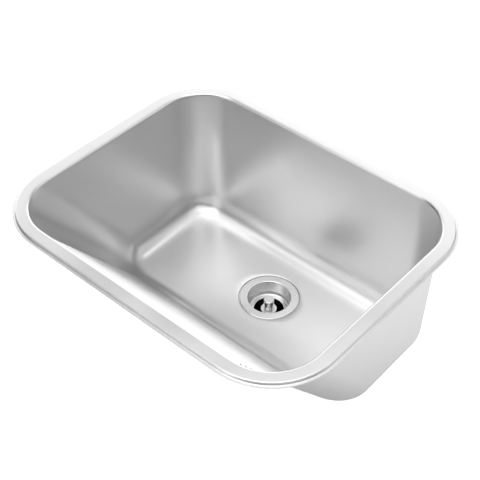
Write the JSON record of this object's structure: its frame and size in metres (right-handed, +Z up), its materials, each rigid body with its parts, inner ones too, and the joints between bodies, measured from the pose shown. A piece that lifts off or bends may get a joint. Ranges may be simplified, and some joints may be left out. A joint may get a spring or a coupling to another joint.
{
  "type": "built-in utility sink",
  "caption": "Built-in stainless steel sink with one deep bowl, a sloped washboard front and a strainer drain closed by a lift-up stopper.",
  "frame": {"origin": "middle of the rim on the plane of its flat top", "axes": "+Z up out of the bowl, -Y the washboard front, +X along the long side"},
  "size_m": [0.56, 0.461, 0.3268],
  "materials": {
    "pressed_steel": "satin brushed sheet",
    "drain_steel": "fine satin pressing",
    "turned_steel": "turned, smooth",
    "cast_nut": "die-cast, matt",
    "outlet_brass": "turned, dull",
    "black_rubber": "moulded, matt",
    "fibre_washer": "pressed fibre",
    "damping_sheet": "rolled bitumen sheet, matt"
  },
  "bodies": {
    "sink": {"basin": "pressed_steel", "sound_pad": "damping_sheet", "strainer_cup": "drain_steel", "guide_bush": "turned_steel", "flange_gasket": "black_rubber", "under_gasket": "black_rubber", "friction_washer": "fibre_washer", "locknut": "cast_nut", "outlet_body": "outlet_brass"},
    "ring": {"stem_ring": "black_rubber"},
    "stopper": {"stopper_stem": "turned_steel", "stopper_knob": "turned_steel", "backing_washer": "turned_steel", "stopper_seal": "black_rubber", "keeper_washer": "turned_steel", "keeper_nut": "turned_steel"}
  },
  "joints": [
    {"name": "stopper_lift", "type": "slide", "parent": "sink", "child": "ring", "axis": [0, 0, 1], "range_m": [0, 0.01]},
    {"name": "stopper_turn", "type": "hinge", "parent": "ring", "child": "stopper", "pos_m": [0, 0.0866, -0.25], "axis": [0, 0, 1], "continuous": true}
  ]
}
